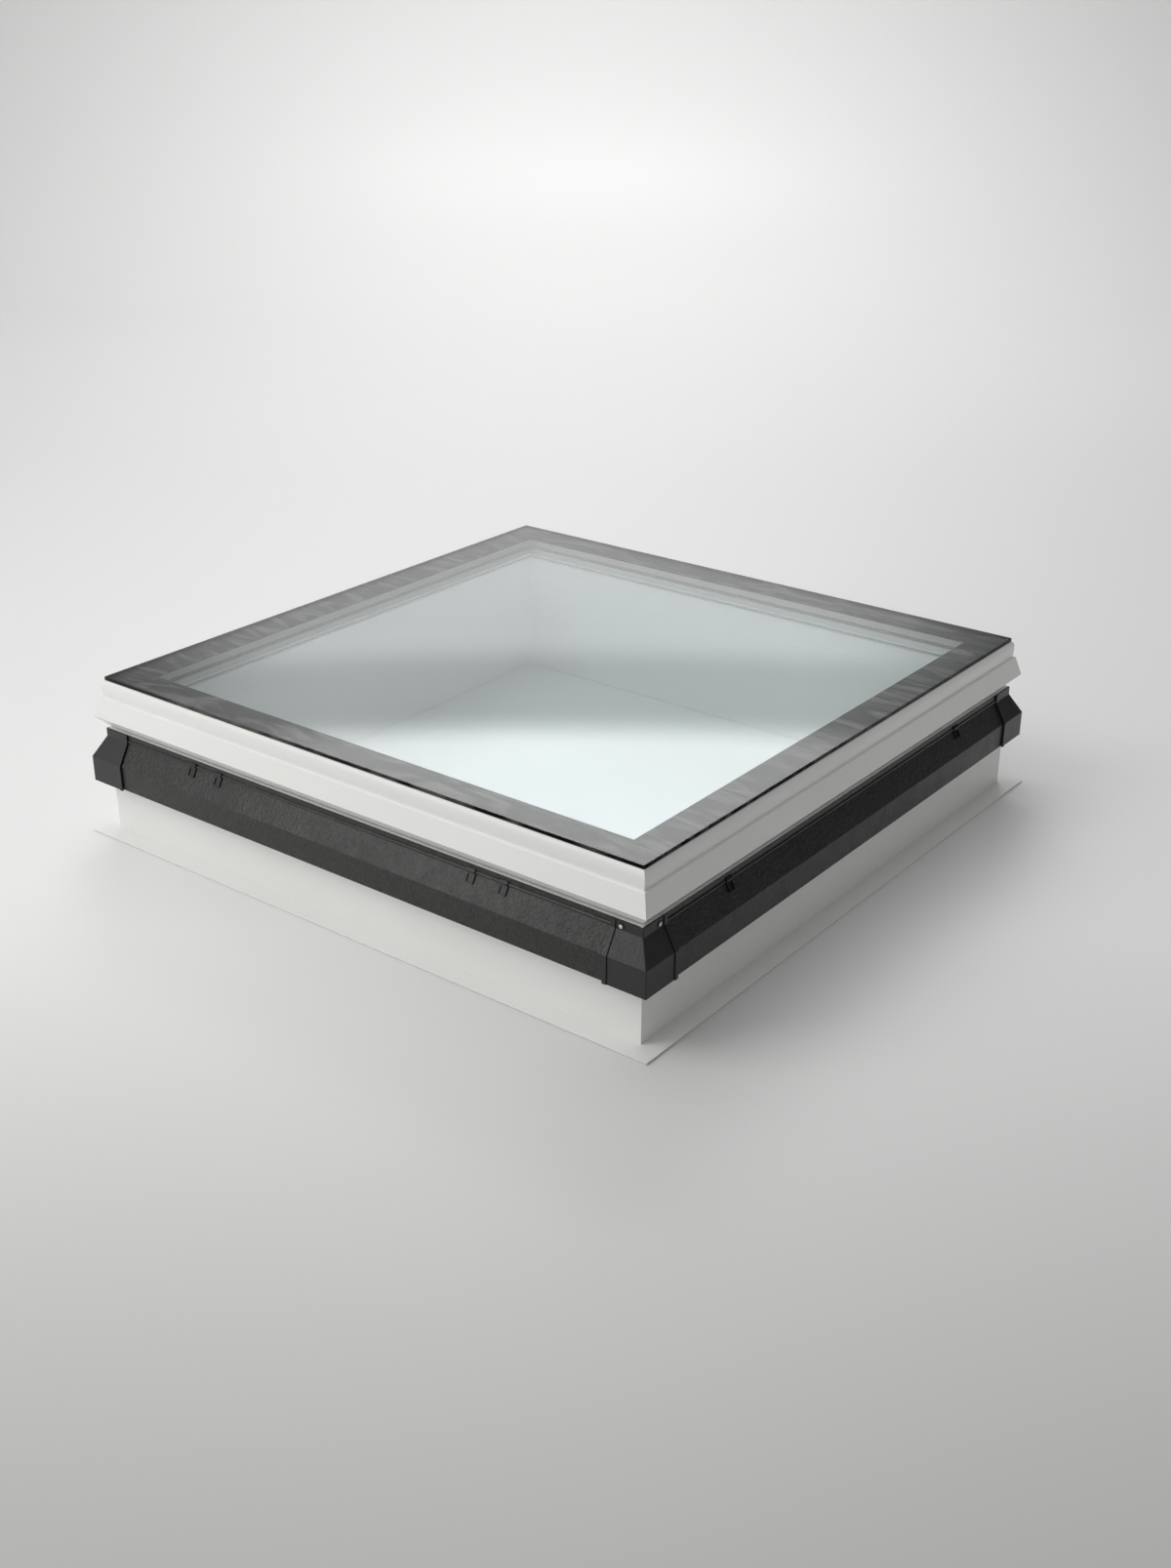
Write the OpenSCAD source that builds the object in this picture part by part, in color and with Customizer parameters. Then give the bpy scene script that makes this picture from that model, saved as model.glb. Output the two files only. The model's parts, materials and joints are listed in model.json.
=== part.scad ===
// Square flat-glass roof skylight: kerb, hinged sash with a stepped double-glazed unit,
// black trim with corner caps, and a chain operator hidden in the kerb.
// Z is up, the underside of the kerb is z = 0, and the centre of the light shaft is x = y = 0.
// The sash is hinged on the +Y side and opens upwards at the -Y side.

/* [Glass unit] */
// Side of the square outer pane
glass_side = 1200; // [900:10:1500]
// Thickness of the outer pane
outer_pane_t = 6; // [4:0.5:10]
// Gas space between the panes
cavity_t = 16; // [12:1:20]
// Thickness of the laminated inner pane
inner_pane_t = 6.8; // [4:0.2:12]
// Width of the black enamelled border
enamel_w = 66.6; // [50:0.1:80]
// Width of the spacer frame
spacer_w = 12; // [8:1:16]
// Width of the edge seal behind the spacer
edge_seal_w = 8; // [5:1:10]
// Thickness of the black bed seal under the outer pane
bed_seal_t = 0.7; // [0.4:0.1:2]
// Thickness of the gasket under the inner pane
pane_gasket_t = 0.9; // [0.5:0.1:2]

/* [Kerb] */
// Height of the kerb up to its top edge
kerb_h = 256; // [200:1:400]
// Width of the kerb wall from the light shaft to the outer face
kerb_wall_w = 65; // [55:1:80]
// Drop from the kerb top down to the outer shelf
step_h = 49; // [40:1:70]
// Width of the outer shelf
step_w = 18; // [16:1:24]
// Width of the roof flange
flange_w = 36.5; // [20:0.5:80]
// Thickness of the roof flange
flange_t = 4; // [3:0.5:8]
// Wall thickness of the hollow kerb profile
kerb_shell_t = 3.5; // [2.5:0.5:5]

/* [Sash] */
// Height of the gap between kerb and sash that the gaskets fill
seat_gap = 6; // [4:0.5:10]
// Gap between the sash skirt and the upper kerb wall
leg_gap = 4; // [3.5:0.5:8]
// Height of the ledge under the inner pane
ledge_h = 14; // [11:1:20]
// Wall thickness of the hollow sash profile
sash_shell_t = 3; // [2:0.5:3.5]
// How far the skirt stands out past the glass
skirt_out = 19.5; // [15:0.5:24]
// How far the skirt's lower edge is above the kerb shelf
skirt_rise = 23; // [18:1:30]

/* [Black trim] */
// Sheet thickness of the trim strips
strip_t = 1.6; // [1.2:0.1:2]
// Sheet thickness of the corner caps
cap_t = 2; // [1.5:0.1:3]
// How far the strips stand out at their fold
strip_out = 23.4; // [18:0.2:28]
// Height of the strips
strip_h = 100; // [80:1:110]
// Length of a corner cap along each side, from the glass corner
cap_len = 53; // [40:1:80]
// Width of the rib at the end of a cap
rib_w = 8; // [3:0.5:10]
// How far the rib stands proud
rib_out = 1.8; // [1:0.1:3]
// Width of a retaining clip
clip_w = 16; // [10:1:24]
// Length of a clip's tongue down the slope
clip_drop = 17; // [12:1:22]
// Diameter of the cap screw heads
cap_screw_d = 6.5; // [5.5:0.5:7]
// Outer diameter of the raised ring around a cap screw
screw_ring_d = 11; // [10:0.5:12]

/* [Hinges] */
// Distance of each hinge from the middle
hinge_x = 380; // [200:10:400]
// Length of a hinge
hinge_len = 80; // [60:3:90]
// Diameter of the hinge pin
hinge_pin_d = 5; // [4:0.5:6]
// Outer diameter of the hinge knuckles
knuckle_d = 10; // [9:0.5:11]
// Radial running clearance of the pin in the sash knuckles
pin_clearance = 0.05; // [0.03:0.01:0.1]

/* [Chain operator] */
// Length of the operator case
case_len = 380; // [300:10:500]
// Height of the operator case
case_h = 64; // [50:1:70]
// Depth of the operator case
case_d = 36; // [32:1:38]
// Distance from one chain pin to the next
chain_pitch = 12; // [10:1:15]
// Diameter of the chain pins
chain_pin_d = 3.5; // [3:0.5:5]
// Distance from the chain's end pin to the guide's pivot when closed
guide_drop = 22; // [20:1:30]
// Sliding clearance of the chain in its guide
chain_clearance = 0.3; // [0.2:0.1:0.6]
// Radial clearance of the chain's end pin in the sash bracket
end_pin_clearance = 1.3; // [1:0.1:2]

/* [Hidden] */
$fn = 48;
eps = 0.01;

// Plan: distances u are measured outwards from the middle of the light shaft
glass_u = glass_side / 2;
kerb_out_u = glass_u + 2;
kerb_in_u = kerb_out_u - kerb_wall_w;
step_u = kerb_out_u - step_w;
leg_in_u = step_u + leg_gap;
flange_u = kerb_out_u + flange_w;
enamel_in_u = glass_u - enamel_w;
spacer_in_u = kerb_in_u + 3;
seal_in_u = spacer_in_u + spacer_w;
inner_pane_u = seal_in_u + edge_seal_w;
upstand_u = inner_pane_u + 3;
reach = flange_u + 1;

// Levels, from the roof up
shelf_z = kerb_h - step_h;
sash_z = kerb_h + seat_gap;
ledge_z = sash_z + ledge_h;
inner_pane_z = ledge_z + pane_gasket_t;
cavity_z = inner_pane_z + inner_pane_t;
enamel_t = 0.3;
enamel_z = cavity_z + cavity_t;
outer_pane_z = enamel_z + enamel_t;
bed_z = enamel_z - bed_seal_t;
top_z = outer_pane_z + outer_pane_t;

// Sash outline
leg_z = shelf_z + 4;
tip_z = shelf_z + skirt_rise;
tip_u = glass_u + skirt_out;
ridge_u = glass_u + 9;
ridge_z = sash_z + 4.5;
band_u = glass_u + 5.8;
notch_u = glass_u + 4.4;
bar_t = 1.5;
bar_gap = 1.5;
bar_half = glass_u - 60;

// Kerb details
groove_z = shelf_z + 1;
groove_d = 0.8;
gasket_w = 6;
gasket_gap = 0.2;
gasket_h = seat_gap - gasket_gap;
core_gap = 0.5;

// Trim outline
strip_in_u = kerb_out_u;
strip_leg_u = strip_in_u + strip_t;
strip_top_z = shelf_z - 1.5;
crease_z = strip_top_z - 15.5;
fold_z = strip_top_z - 54.5;
fold_u = kerb_out_u + strip_out;
strip_low_z = strip_top_z - strip_h;
bead_z = strip_top_z - 9.3;
bead_h = 4;
bead_out = 2.2;
bead_ease = 1.4;
slope_a = atan2(fold_u - strip_leg_u, crease_z - fold_z);
strip_half = glass_u - 4;
cap_start = glass_u - cap_len;
cap_screw_s = cap_start + 18;
cap_screw_z = crease_z + 6.5;
cap_screw_shank_d = 4;
screw_ring_t = 1.4;
screw_ring_h = 1.2;
clip_t = 2.2;
clip_r = 3;
clip_rim = 2.2;
// Places of the clips along the sides that face -Y and +Y, and along the other two
clip_places_y = [-372, -306, 274, 340];
clip_places_x = [-380, 380];

// Hinges: the pin's axis, and the pocket for them in the sash leg
hinge_u = glass_u - 6;
leaf_t = 2;
hinge_z = shelf_z + leaf_t + knuckle_d / 2 + 0.8;
third = hinge_len / 3;
knuckle_gap = 0.3;
pocket_end = 2;
pocket_top_z = hinge_z + knuckle_d / 2 + 3;
leaf_screw_d = 4;
leaf_head_d = 8;
leaf_head_t = 1.2;
leaf_screw_x = hinge_len / 2 - 14;
sash_leaf_top_z = kerb_h - 6;
sash_leaf_screw_z = kerb_h - 22;

// Chain operator: the end pin when closed, and the chain's lean towards the hinge side
end_pin_u = kerb_in_u + 19;
end_pin_z = kerb_h - 6;
chain_lean = atan((end_pin_z - hinge_z) / (end_pin_u + hinge_u));
pocket_floor_z = 12;
chain_room = end_pin_z - pocket_floor_z - 6;
link_count = floor(chain_room / chain_pitch);
link_w = 9;
link_plate_t = 1.5;
link_in = 3;
link_out = link_in + link_plate_t;
roller_d = 6;
guide_wall = 2.4;
guide_h = 16;
guide_half_x = link_out + chain_clearance + guide_wall;
guide_half_y = link_w / 2 + chain_clearance + guide_wall;
trunnion_d = 6;
trunnion_len = 3.4;
trunnion_clearance = 0.05;
cheek_gap = 0.4;
cheek_t = 3.7;
bay_half = guide_half_x + cheek_gap;
case_wall = 2.5;
case_u = kerb_in_u + kerb_shell_t;
case_top_z = kerb_h - 8;
case_z = case_top_z - case_h;
outlet_half = 9;
cover_gap = 0.2;
cover_margin = 8;
cover_screw_d = 4;
cover_head_d = 8;
motor_d = 28;
motor_len = 96;
gearbox_len = 44;
bracket_t = 3;
bracket_len = 60;
bracket_w = 18;
lug_half = link_in - 0.5;
lug_r = chain_pin_d / 2 + end_pin_clearance + 2.5;
bracket_screw_u = end_pin_u - 1;
bracket_screw_s = bracket_len / 2 - 10;

// ---- helpers ----

// Turns a piece drawn on the +X side to side k: 0 is +X, 1 is +Y, 2 is -X, 3 is -Y
module on_side(k) {
    rotate([0, 0, 90 * k]) children();
}

// Runs a section, drawn as u across and z up, along the +X side
module side_run(length) {
    rotate([90, 0, 0]) linear_extrude(length, center = true) children();
}

// The quarter of the plan that belongs to the +X side
module mitre_wedge() {
    translate([0, 0, -1])
        linear_extrude(top_z + 2) polygon([[0, 0], [reach, -reach], [reach, reach]]);
}

// A section run all the way round, mitred at the corners
module mitred_ring() {
    for (k = [0 : 3])
        on_side(k) intersection() {
            side_run(2 * reach) children();
            mitre_wedge();
        }
}

// A flat square ring between two distances from the middle
module flat_ring(in_u, out_u, z, h) {
    difference() {
        translate([-out_u, -out_u, z]) cube([2 * out_u, 2 * out_u, h]);
        translate([-in_u, -in_u, z - 1]) cube([2 * in_u, 2 * in_u, h + 2]);
    }
}

// A square plate centred on the middle
module plate(half, z, h) {
    translate([-half, -half, z]) cube([2 * half, 2 * half, h]);
}

// A cylinder that points outwards along +X from distance u
module bolt(u, s, z, d, length) {
    translate([u, s, z]) rotate([0, 90, 0]) cylinder(d = d, h = length);
}

// ---- kerb ----

module kerb_section() {
    t = kerb_shell_t;
    difference() {
        polygon([[kerb_in_u, 0], [flange_u, 0], [flange_u, flange_t], [kerb_out_u, flange_t],
            [kerb_out_u, shelf_z], [step_u, shelf_z], [step_u, kerb_h], [kerb_in_u, kerb_h],
            [kerb_in_u, groove_z + groove_d], [kerb_in_u + groove_d, groove_z],
            [kerb_in_u, groove_z - groove_d]]);
        polygon([[kerb_in_u + t, t], [kerb_out_u - t, t], [kerb_out_u - t, shelf_z - t],
            [step_u - t, shelf_z - t], [step_u - t, kerb_h - t], [kerb_in_u + t, kerb_h - t]]);
    }
}

// Places of the cap screws: both legs of the front right cap and of the cap opposite
module at_cap_screws() {
    for (k = [1, 3]) {
        on_side(k) translate([0, cap_screw_s, 0]) children();
        on_side(k + 1) translate([0, -cap_screw_s, 0]) children();
    }
}

// Welded hollow plastic kerb with its roof flange and the operator's hatch and outlet
module kerb_frame() {
    color("whitesmoke") difference() {
        mitred_ring() kerb_section();
        on_side(3) {
            translate([kerb_in_u - 1, -case_len / 2 - cover_gap, case_z - cover_gap])
                cube([kerb_shell_t + 2, case_len + 2 * cover_gap, case_h + 2 * cover_gap]);
            translate([end_pin_u - link_w, -outlet_half, kerb_h - kerb_shell_t - 1])
                cube([2 * link_w, 2 * outlet_half, kerb_shell_t + 2]);
        }
        at_cap_screws()
            bolt(kerb_out_u - kerb_shell_t - 1, 0, cap_screw_z, cap_screw_shank_d, kerb_shell_t + 2);
        for (x = [-hinge_x, hinge_x])
            for (dx = [-leaf_screw_x, leaf_screw_x])
                translate([x + dx, hinge_u - 1, shelf_z - kerb_shell_t - 1])
                    cylinder(d = leaf_screw_d, h = kerb_shell_t + 2);
    }
}

// Foam core in the kerb, with a pocket behind the hatch for the operator and its chain
module kerb_insulation() {
    in_u = kerb_in_u + kerb_shell_t;
    out_u = kerb_out_u - kerb_shell_t - core_gap;
    core_top_z = shelf_z - kerb_shell_t - 12;
    color("lightgray") difference() {
        flat_ring(in_u, out_u, kerb_shell_t, core_top_z - kerb_shell_t);
        on_side(3) {
            translate([in_u - 1, -case_len / 2 - 2, case_z - 2]) cube([case_d + 3, case_len + 4, case_h]);
            translate([in_u - 1, -outlet_half - 4, pocket_floor_z])
                cube([case_d + 1, 2 * outlet_half + 8, case_z]);
        }
    }
}

module inner_seat_gasket() {
    in_u = kerb_in_u + 3;
    color("black") flat_ring(in_u, in_u + gasket_w, kerb_h, gasket_h);
}

module outer_seat_gasket() {
    out_u = step_u - 3;
    color("black") flat_ring(out_u - gasket_w, out_u, kerb_h, gasket_h);
}

// ---- black trim ----

// The strip's outer line pushed outwards by t, and its sheet below that line
function trim_line(t, top_z, low_z) = [[strip_leg_u + t, top_z],
    [strip_leg_u + t, crease_z + t * tan(slope_a / 2)],
    [fold_u + t, fold_z + t * tan(slope_a / 2)], [fold_u + t, low_z]];

module trim_sheet(t0, t1, top_z, low_z) {
    inner = trim_line(t0, top_z, low_z);
    polygon(concat(trim_line(t1, top_z, low_z), [for (i = [3 : -1 : 0]) inner[i]]));
}

module trim_strip(k) {
    screw_s = k % 2 == 1 ? cap_screw_s : -cap_screw_s;
    color("dimgray") on_side(k) difference() {
        union() {
            side_run(2 * strip_half) trim_sheet(-strip_t, 0, strip_top_z, strip_low_z);
            side_run(2 * cap_start - 2) polygon([
                [strip_leg_u - strip_t / 2, bead_z], [strip_leg_u + bead_out - bead_ease, bead_z],
                [strip_leg_u + bead_out, bead_z - bead_ease], [strip_leg_u + bead_out, bead_z - bead_h],
                [strip_leg_u - strip_t / 2, bead_z - bead_h]]);
        }
        bolt(strip_in_u - 1, screw_s, cap_screw_z, cap_screw_shank_d, strip_t + 2);
    }
}

// One leg of a corner cap: end is +1 or -1, the end of the side that it covers
module cap_leg(end, screwed) {
    start = end > 0 ? cap_start : -reach;
    rib_start = end > 0 ? cap_start : -cap_start - rib_w;
    low_z = strip_low_z - 2;
    face_u = strip_leg_u + cap_t;
    screw_s = end * cap_screw_s;
    difference() {
        intersection() {
            union() {
                side_run(2 * reach) trim_sheet(0, cap_t, strip_top_z, low_z);
                translate([0, rib_start + rib_w / 2, 0]) side_run(rib_w)
                    trim_sheet(cap_t / 2, cap_t + rib_out, strip_top_z, low_z);
                if (screwed)
                    bolt(face_u - cap_t / 2, screw_s, cap_screw_z, screw_ring_d, cap_t / 2 + screw_ring_h);
            }
            mitre_wedge();
            translate([0, start, 0]) cube([reach, reach - cap_start, top_z]);
        }
        if (screwed) {
            bolt(face_u, screw_s, cap_screw_z, screw_ring_d - 2 * screw_ring_t, cap_t);
            bolt(strip_leg_u - 1, screw_s, cap_screw_z, cap_screw_shank_d, cap_t + 2);
        }
    }
}

// The cap on the corner between side k and the next side
module corner_cap(k) {
    color([0.2, 0.2, 0.2]) {
        on_side(k) cap_leg(1, k % 2 == 1);
        on_side(k + 1) cap_leg(-1, k % 2 == 1);
    }
}

// Pan-head screws through the caps and strips into the kerb
module cap_screws() {
    grip = 8;
    head_t = 1.4;
    crown_t = 0.8;
    face_u = strip_leg_u + cap_t;
    color("silver") at_cap_screws() difference() {
        union() {
            bolt(kerb_out_u - grip, 0, cap_screw_z, cap_screw_shank_d, strip_t + cap_t + grip);
            bolt(face_u, 0, cap_screw_z, cap_screw_d, head_t);
            bolt(face_u + head_t, 0, cap_screw_z, cap_screw_d - 2, crown_t);
        }
        for (a = [0, 90])
            translate([face_u + head_t, 0, cap_screw_z]) rotate([a, 0, 0])
                translate([0, -0.4, -1.5]) cube([2, 0.8, 3]);
    }
}

// Clip that grips the strip's bead, with a tongue on the slope and a window sunk in it
module trim_clip() {
    out_u = strip_leg_u + bead_out;
    root = [strip_leg_u, 0, crease_z];
    difference() {
        union() {
            side_run(clip_w) polygon([[strip_leg_u, bead_z + 3], [strip_leg_u, bead_z + 0.4],
                [out_u - bead_ease, bead_z + 0.4], [out_u + 0.3, bead_z - bead_ease],
                [out_u + 0.3, bead_z - bead_h - 0.2], [strip_leg_u, bead_z - bead_h - 0.2],
                [strip_leg_u, crease_z],
                [strip_leg_u + clip_t * cos(slope_a), crease_z + clip_t * sin(slope_a)],
                [out_u + clip_t - 0.4, bead_z - bead_h], [out_u + clip_t - 0.4, bead_z - bead_ease],
                [out_u, bead_z + 2], [strip_leg_u + 1, bead_z + 3]]);
            translate(root) rotate([0, -slope_a, 0]) {
                translate([0, -clip_w / 2, clip_r - clip_drop]) cube([clip_t, clip_w, clip_drop - clip_r]);
                translate([0, clip_r - clip_w / 2, -clip_drop]) cube([clip_t, clip_w - 2 * clip_r, clip_drop]);
                for (s = [clip_r - clip_w / 2, clip_w / 2 - clip_r])
                    translate([0, s, clip_r - clip_drop]) rotate([0, 90, 0]) cylinder(r = clip_r, h = clip_t);
            }
        }
        translate(root) rotate([0, -slope_a, 0])
            translate([0.6, clip_rim - clip_w / 2, clip_rim - clip_drop])
                cube([clip_t, clip_w - 2 * clip_rim, clip_drop - 2 * clip_rim]);
    }
}

module trim_clips() {
    color([0.12, 0.12, 0.12]) for (k = [0 : 3])
        for (s = k % 2 == 1 ? clip_places_y : clip_places_x)
            on_side(k) translate([0, k == 3 ? s : -s, 0]) trim_clip();
}

// ---- sash ----

module sash_section() {
    t = sash_shell_t;
    difference() {
        polygon([[kerb_in_u, sash_z], [kerb_in_u, ledge_z], [upstand_u, ledge_z], [upstand_u, bed_z],
            [glass_u + 1, bed_z], [glass_u + 3.6, bed_z - 3], [glass_u + 5.3, bed_z - 8], [band_u, bed_z - 14],
            [glass_u + 5.3, sash_z + 13], [notch_u, sash_z + 7.5], [notch_u + 0.6, ridge_z + 1],
            [ridge_u - 1.2, ridge_z + 0.8], [ridge_u, ridge_z - 0.4], [tip_u, tip_z + 1],
            [tip_u - 0.6, tip_z - 0.4], [glass_u, leg_z], [leg_in_u, leg_z], [leg_in_u, sash_z]]);
        // chamber under the inner pane
        polygon([[kerb_in_u + t, sash_z + t], [upstand_u - t, sash_z + t],
            [upstand_u - t, ledge_z - t], [kerb_in_u + t, ledge_z - t]]);
        // main chamber with the steel bar
        polygon([[upstand_u + t, sash_z + t], [glass_u + 1, sash_z + t],
            [glass_u + 1, bed_z - 3 - t], [glass_u - 2, bed_z - t], [upstand_u + t, bed_z - t]]);
        // chamber in the skirt
        polygon([[leg_in_u + t, leg_z + t], [glass_u - 0.4 * t, leg_z + t], [tip_u - 1.15 * t, tip_z + 0.3 * t],
            [ridge_u - 0.33 * t, sash_z - t], [leg_in_u + t, sash_z - t]]);
    }
}

// Welded hollow plastic sash with its overlapping skirt, pockets for the hinges and weep holes
module sash_frame() {
    color("white") difference() {
        mitred_ring() sash_section();
        on_side(1) for (x = [-hinge_x, hinge_x]) {
            translate([leg_in_u - 1, x - hinge_len / 2 - pocket_end, leg_z - 1])
                cube([tip_u - leg_in_u - 8, hinge_len + 2 * pocket_end, pocket_top_z - leg_z + 1]);
            for (ds = [-leaf_screw_x, leaf_screw_x])
                bolt(leg_in_u - 1, x + ds, sash_leaf_screw_z, leaf_screw_d, sash_shell_t + 2);
        }
        on_side(3) for (s = [-bracket_screw_s, bracket_screw_s])
            translate([bracket_screw_u, s, sash_z - 1]) cylinder(d = leaf_screw_d, h = sash_shell_t + 2);
        for (k = [0 : 3])
            for (s = [-glass_u / 2, glass_u / 2])
                on_side(k) {
                    translate([upstand_u + 12, s, sash_z - 1]) cylinder(d = 6, h = sash_shell_t + 2);
                    translate([leg_in_u + 6, s, leg_z - 1]) cylinder(d = 5, h = sash_shell_t + 2);
                }
    }
}

// Galvanised box bars that lie in the main chamber of the sash
module sash_reinforcement() {
    in_u = upstand_u + sash_shell_t + bar_gap;
    out_u = glass_u - bar_gap;
    low_z = sash_z + sash_shell_t;
    high_z = bed_z - sash_shell_t - 3 - bar_gap;
    color("silver") for (k = [0 : 3])
        on_side(k) side_run(2 * bar_half) difference() {
            translate([in_u, low_z]) square([out_u - in_u, high_z - low_z]);
            translate([in_u + bar_t, low_z + bar_t])
                square([out_u - in_u - 2 * bar_t, high_z - low_z - 2 * bar_t]);
        }
}

// ---- glass unit ----

module outer_pane() {
    color([0.8, 0.92, 0.92, 0.4]) plate(glass_u, outer_pane_z, outer_pane_t);
}

// Black enamel on the underside of the outer pane, carried round onto its edge
module enamel_border() {
    color([0.1, 0.1, 0.1]) union() {
        flat_ring(enamel_in_u, glass_u, enamel_z, enamel_t);
        flat_ring(glass_u, glass_u + enamel_t, enamel_z, outer_pane_t + enamel_t - 0.4);
    }
}

module spacer_frame() {
    color("darkgray") flat_ring(spacer_in_u, seal_in_u, cavity_z, cavity_t);
}

module edge_seal() {
    color([0.15, 0.15, 0.15]) flat_ring(seal_in_u, inner_pane_u, cavity_z, cavity_t);
}

module inner_pane() {
    color([0.8, 0.92, 0.92, 0.4]) plate(inner_pane_u, inner_pane_z, inner_pane_t);
}

module inner_pane_gasket() {
    color([0.15, 0.15, 0.15]) flat_ring(spacer_in_u, inner_pane_u - 4, ledge_z, pane_gasket_t);
}

module bed_seal() {
    color([0.1, 0.1, 0.1]) flat_ring(upstand_u + 4, glass_u - 1, bed_z, bed_seal_t);
}

// ---- hinges, on the +Y side ----

module at_hinges() {
    for (x = [-hinge_x, hinge_x])
        translate([x, 0, 0]) children();
}

// A round bar along X at the hinge axis
module hinge_round(x0, x1, d) {
    translate([x0, hinge_u, hinge_z]) rotate([0, 90, 0]) cylinder(d = d, h = x1 - x0);
}

// Base leaf screwed to the kerb shelf, with the middle knuckle
module hinge_kerb_leaves() {
    half = third / 2 - knuckle_gap;
    color("silver") at_hinges() difference() {
        union() {
            translate([-hinge_len / 2, step_u + 1, shelf_z]) cube([hinge_len, step_w - 2, leaf_t]);
            hinge_round(-half, half, knuckle_d);
            translate([-half, hinge_u - knuckle_d / 2 + 1, shelf_z + leaf_t / 2])
                cube([2 * half, knuckle_d - 2, hinge_z - shelf_z - leaf_t / 2 - 1]);
        }
        hinge_round(-half - 1, half + 1, hinge_pin_d);
        for (dx = [-leaf_screw_x, leaf_screw_x])
            translate([dx, hinge_u - 1, shelf_z - 1]) {
                cylinder(d = leaf_screw_d, h = leaf_t + 2);
                translate([0, 0, 1 + leaf_t - leaf_head_t]) cylinder(d = leaf_head_d, h = 3);
            }
    }
}

// Upright leaf screwed to the inner face of the sash leg, with the two outer knuckles
module hinge_sash_leaves() {
    inner = third / 2 + knuckle_gap;
    outer = hinge_len / 2;
    face_u = leg_in_u - leaf_t;
    bore_d = hinge_pin_d + 2 * pin_clearance;
    color("silver") at_hinges() difference() {
        union() {
            translate([-outer, face_u, hinge_z + 3]) cube([hinge_len, leaf_t, sash_leaf_top_z - hinge_z - 3]);
            for (x0 = [-outer, inner]) {
                hinge_round(x0, x0 + outer - inner, knuckle_d);
                translate([x0, 0, 0]) rotate([90, 0, 90]) linear_extrude(outer - inner)
                    polygon([[face_u, hinge_z + 9], [leg_in_u, hinge_z + 7.5],
                        [hinge_u, hinge_z + knuckle_d / 2], [hinge_u, hinge_z + 1], [hinge_u - 4, hinge_z + 0.5], [face_u, hinge_z + 3]]);
            }
        }
        hinge_round(-outer - 1, outer + 1, bore_d);
        translate([-inner, face_u + leaf_t - 0.6, hinge_z - 1]) cube([2 * inner, leaf_t, knuckle_d / 2 + 2]);
        for (dx = [-leaf_screw_x, leaf_screw_x])
            translate([dx, face_u - 1, sash_leaf_screw_z]) rotate([-90, 0, 0]) {
                cylinder(d = leaf_screw_d, h = leaf_t + 2);
                cylinder(d = leaf_head_d, h = 1 + leaf_head_t);
            }
    }
}

module hinge_pins() {
    color("gray") at_hinges() hinge_round(-hinge_len / 2, hinge_len / 2, hinge_pin_d);
}

// Flush screws that hold the kerb leaves down
module kerb_leaf_screws() {
    grip = 12;
    shank_len = grip + leaf_t - leaf_head_t;
    color("silver") at_hinges() for (dx = [-leaf_screw_x, leaf_screw_x])
        translate([dx, hinge_u - 1, shelf_z - grip]) {
            cylinder(d = leaf_screw_d, h = shank_len);
            translate([0, 0, shank_len]) cylinder(d = leaf_head_d, h = leaf_head_t);
        }
}

// Flush screws that hold the upright leaves to the sash
module sash_leaf_screws() {
    length = 11;
    color("silver") at_hinges() for (dx = [-leaf_screw_x, leaf_screw_x])
        translate([dx, leg_in_u - leaf_t, sash_leaf_screw_z]) rotate([-90, 0, 0]) {
            cylinder(d = leaf_head_d, h = leaf_head_t);
            cylinder(d = leaf_screw_d, h = length);
        }
}

// ---- chain operator, in the kerb wall on the -Y side ----

// Moves to the -Y side, where u still points outwards along +X
module at_operator() {
    on_side(3) children();
}

// The line of the chain when closed: the origin is its end pin, and the chain hangs down -Z
module on_chain_line() {
    at_operator() translate([end_pin_u, 0, end_pin_z]) rotate([0, -chain_lean, 0]) children();
}

// Aluminium tray, open towards the hatch, with a bay in the middle for the chain
module operator_case() {
    w = case_wall;
    color("gainsboro") difference() {
        at_operator() difference() {
            translate([case_u, -case_len / 2, case_z]) cube([case_d, case_len, case_h]);
            for (side = [0, 1]) mirror([0, side, 0]) {
                translate([case_u - 1, bay_half + cheek_t, case_z + w])
                    cube([case_d - w + 1, case_len / 2 - bay_half - cheek_t - w, case_h - 2 * w]);
            }
            translate([case_u - 1, -bay_half, case_z - 1]) cube([case_d - w + 1, 2 * bay_half, case_h + 2]);
        }
        on_chain_line() translate([0, -bay_half - cheek_t - 1, -guide_drop]) rotate([-90, 0, 0])
            cylinder(d = trunnion_d + 2 * trunnion_clearance, h = 2 * (bay_half + cheek_t + 1));
    }
}

module drive_motor() {
    axis_u = case_u + case_d - case_wall - motor_d / 2;
    boss_d = 10;
    boss_len = 4;
    color("dimgray") at_operator()
        translate([axis_u, bay_half + cheek_t + gearbox_len, case_z + case_h / 2]) rotate([-90, 0, 0]) {
            cylinder(d = motor_d, h = motor_len);
            cylinder(d = boss_d, h = motor_len + boss_len);
        }
}

// Sealed gear case between the motor and the chain bay
module drive_gearbox() {
    front_gap = 3;
    color("gray") at_operator() translate([case_u + front_gap, bay_half + cheek_t, case_z + case_wall])
        cube([case_d - case_wall - front_gap, gearbox_len, case_h - 2 * case_wall]);
}

module control_board() {
    s0 = -case_len / 2 + case_wall + 6;
    back_u = case_u + case_d - case_wall;
    color("seagreen") at_operator() {
        translate([back_u - 1.6, s0, case_z + case_wall + 4]) cube([1.6, 120, case_h - 2 * case_wall - 8]);
        translate([back_u - 13, s0 + 14, case_z + 22]) cube([11.4 + eps, 30, 16]);
        for (s = [62, 82])
            translate([back_u - 19, s0 + s, case_z + case_h / 2]) rotate([0, 90, 0])
                cylinder(d = 12, h = 17.4 + eps);
    }
}

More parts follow.
